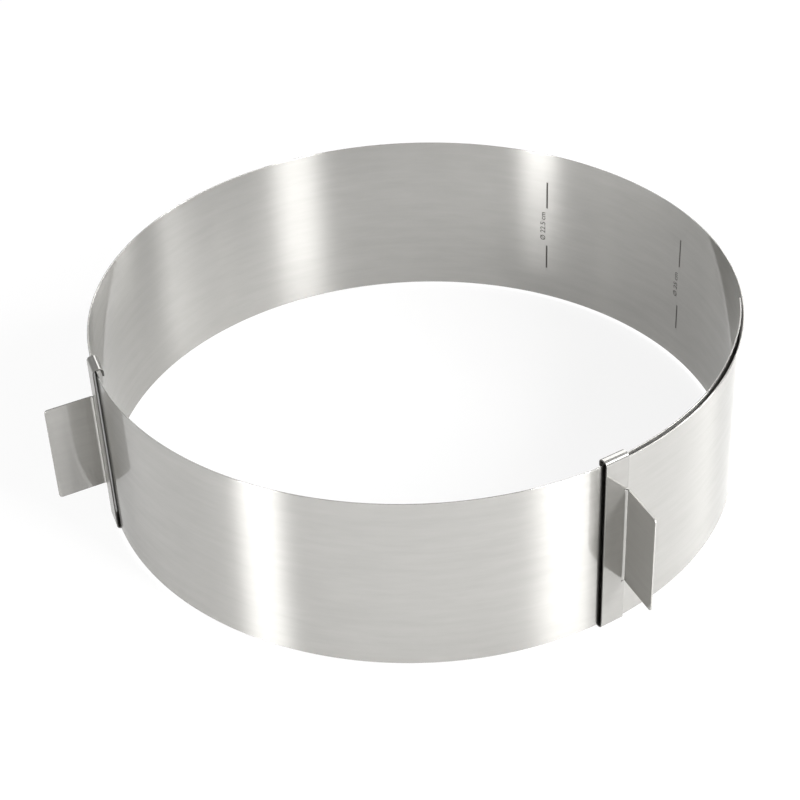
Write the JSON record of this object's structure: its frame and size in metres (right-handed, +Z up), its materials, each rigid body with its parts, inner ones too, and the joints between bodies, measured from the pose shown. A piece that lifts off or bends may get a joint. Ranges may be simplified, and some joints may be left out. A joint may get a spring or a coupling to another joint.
{
  "type": "adjustable cake ring",
  "caption": "Bottomless round baking mould: a coiled steel strip, open at the top and bottom, whose overlap is held by folded clips with finger wings.",
  "frame": {"origin": "on the ring's axis, at the level of the undersides of the clips", "axes": "+Z up along the ring's axis; -Y is the front of the ring, midway between the two clips; +X is to the right of the front"},
  "size_m": [0.2771, 0.2762, 0.0835],
  "materials": {
    "strip_steel": "rolled stainless strip, satin with a low sheen",
    "clip_steel": "stamped and folded stainless sheet, satin"
  },
  "bodies": {
    "ring": {"strip": "strip_steel"},
    "end_clip": {"end_clip": "clip_steel"},
    "slide_clip": {"slide_clip": "clip_steel"}
  },
  "joints": [
    {"name": "end_clip_travel", "type": "hinge", "parent": "ring", "child": "end_clip", "pos_m": [0, 0, 0], "axis": [0, 0, 1], "range_deg": [-85, 33], "deforming": ["strip"]},
    {"name": "slide_clip_travel", "type": "hinge", "parent": "ring", "child": "slide_clip", "pos_m": [0, 0, 0], "axis": [0, 0, 1], "range_deg": [-170, 10]}
  ]
}
